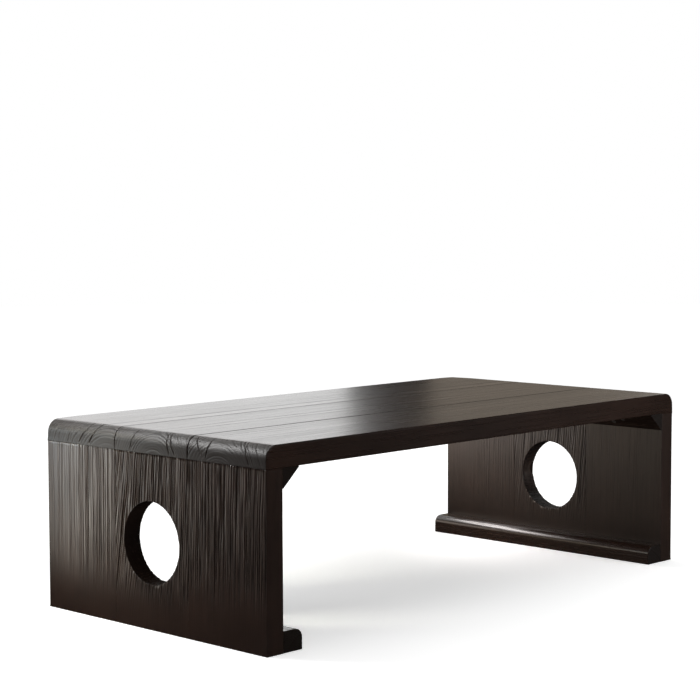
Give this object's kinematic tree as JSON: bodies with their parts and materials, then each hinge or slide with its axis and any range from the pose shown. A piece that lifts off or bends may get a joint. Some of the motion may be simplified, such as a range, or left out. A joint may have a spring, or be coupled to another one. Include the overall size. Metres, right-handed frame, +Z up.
{
  "type": "low floor table",
  "caption": "Low rectangular floor table: thick planked top with rounded ends on two panel ends with round hand holes, corner haunches and foot rails.",
  "frame": {"origin": "on the floor, under the middle of the table", "axes": "+X along the table's length, towards the right end; +Y to the back; +Z up"},
  "size_m": [1, 0.5, 0.3],
  "materials": {
    "top_wood": "dark stained and brushed along the grain, satin",
    "panel_wood": "dark stained, deeply wire brushed upright grain",
    "rail_wood": "dark stained, satin",
    "haunch_wood": "dark stained, matt",
    "bare_wood": "planed, unfinished",
    "screw_steel": "zinc plated"
  },
  "bodies": {
    "root": {"top_plank_front": "top_wood", "top_plank_middle": "top_wood", "top_plank_back": "top_wood", "top_tongue_front": "bare_wood", "top_tongue_back": "bare_wood", "left_panel_board_front": "panel_wood", "left_panel_board_middle": "panel_wood", "left_panel_board_back": "panel_wood", "left_panel_tongue_front": "bare_wood", "left_panel_tongue_back": "bare_wood", "left_corner_tenons": "bare_wood", "left_foot_dowels": "bare_wood", "left_haunch": "haunch_wood", "left_haunch_plugs": "haunch_wood", "left_haunch_screws": "screw_steel", "left_foot_rail": "rail_wood", "right_panel_board_front": "panel_wood", "right_panel_board_middle": "panel_wood", "right_panel_board_back": "panel_wood", "right_panel_tongue_front": "bare_wood", "right_panel_tongue_back": "bare_wood", "right_corner_tenons": "bare_wood", "right_foot_dowels": "bare_wood", "right_haunch": "haunch_wood", "right_haunch_plugs": "haunch_wood", "right_haunch_screws": "screw_steel", "right_foot_rail": "rail_wood"}
  },
  "joints": []
}
